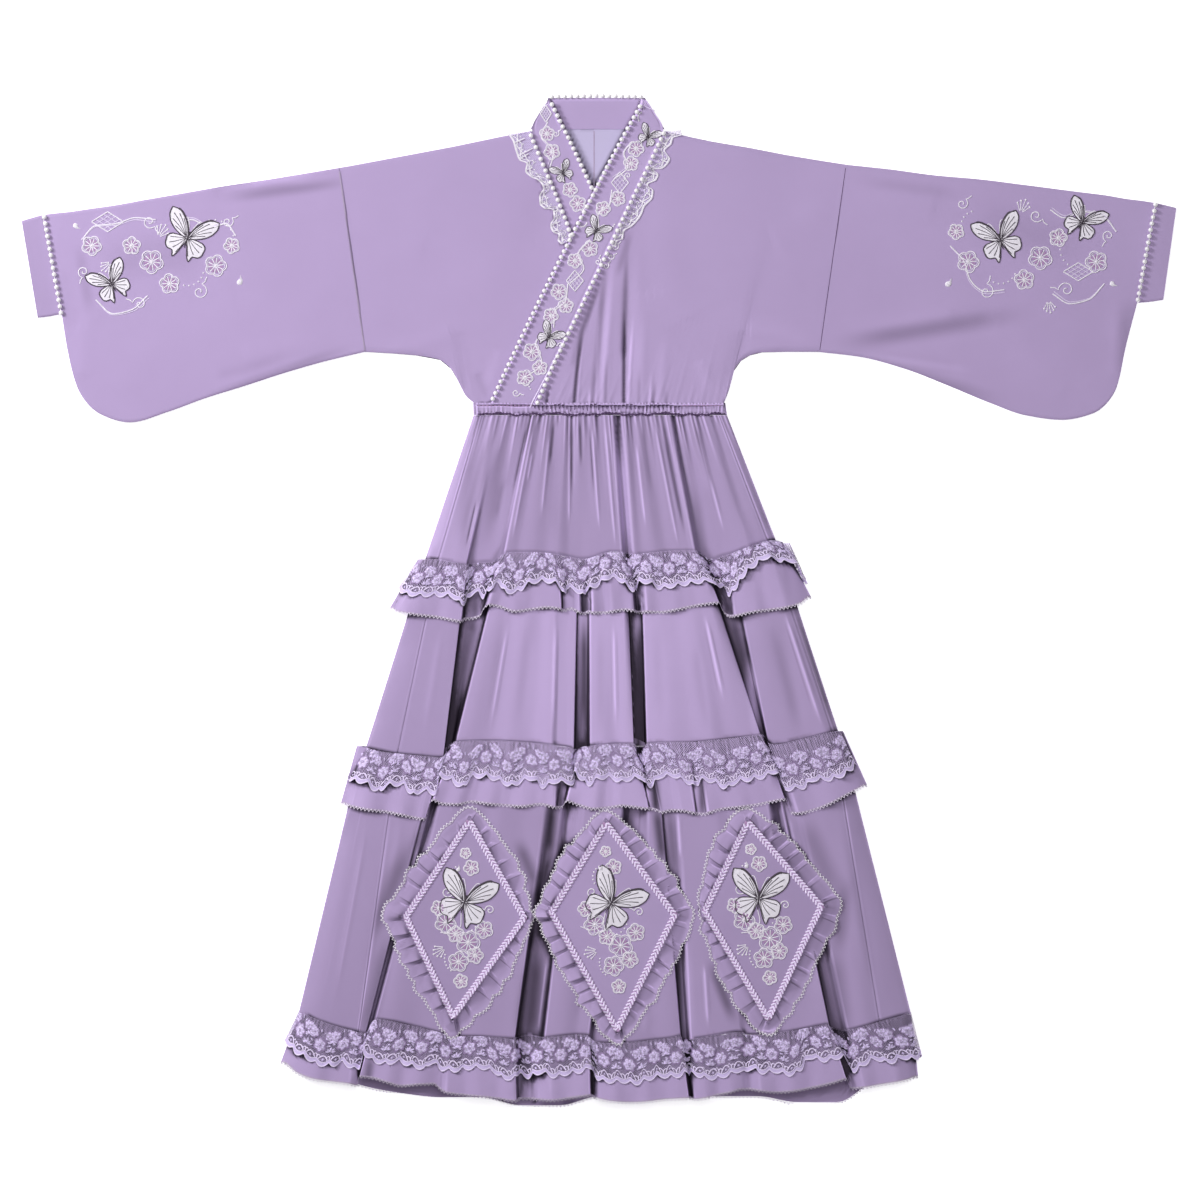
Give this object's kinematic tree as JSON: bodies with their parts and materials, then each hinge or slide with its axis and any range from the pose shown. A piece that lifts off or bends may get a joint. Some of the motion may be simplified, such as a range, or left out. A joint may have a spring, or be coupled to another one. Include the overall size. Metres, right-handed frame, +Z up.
{
  "type": "east asian dress",
  "caption": "Hanfu-style lolita dress laid flat: crossed pearl-edged collar, wide sleeves, three satin tiers with lace and satin ruffles, diamond appliques on the last tier",
  "frame": {"origin": "Centre of the bounding box in X and Y, at the height of the surface it lies on", "axes": "+X runs across the dress from the viewer's left sleeve to the right one, +Y from hem to neck, +Z up out of the front of the dress"},
  "size_m": [1.443, 1.2588, 0.0298],
  "materials": {
    "satin": "lilac polyester satin with a soft sheen",
    "lace": "matte lilac embroidered net"
  },
  "bodies": {
    "root": {"bodice_back_left": "satin", "bodice_back_right": "satin", "bodice_front_over": "satin", "bodice_front_under": "satin", "collar_back": "satin", "collar_over": "satin", "collar_under": "satin", "cuff_left": "satin", "cuff_right": "satin", "diamond_1": "satin", "diamond_2": "satin", "diamond_3": "satin", "diamond_1_frill": "satin", "diamond_2_frill": "satin", "diamond_3_frill": "satin", "ruffle_1": "satin", "ruffle_2": "satin", "ruffle_3": "satin", "sleeve_left": "satin", "sleeve_right": "satin", "tier_1_back": "satin", "tier_1_front": "satin", "tier_2_back": "satin", "tier_2_front": "satin", "tier_3_back": "satin", "tier_3_front": "satin", "waistband": "satin", "collar_frill_over": "lace", "collar_frill_under": "lace", "lace_1": "lace", "lace_2": "lace", "lace_3": "lace"}
  },
  "joints": []
}
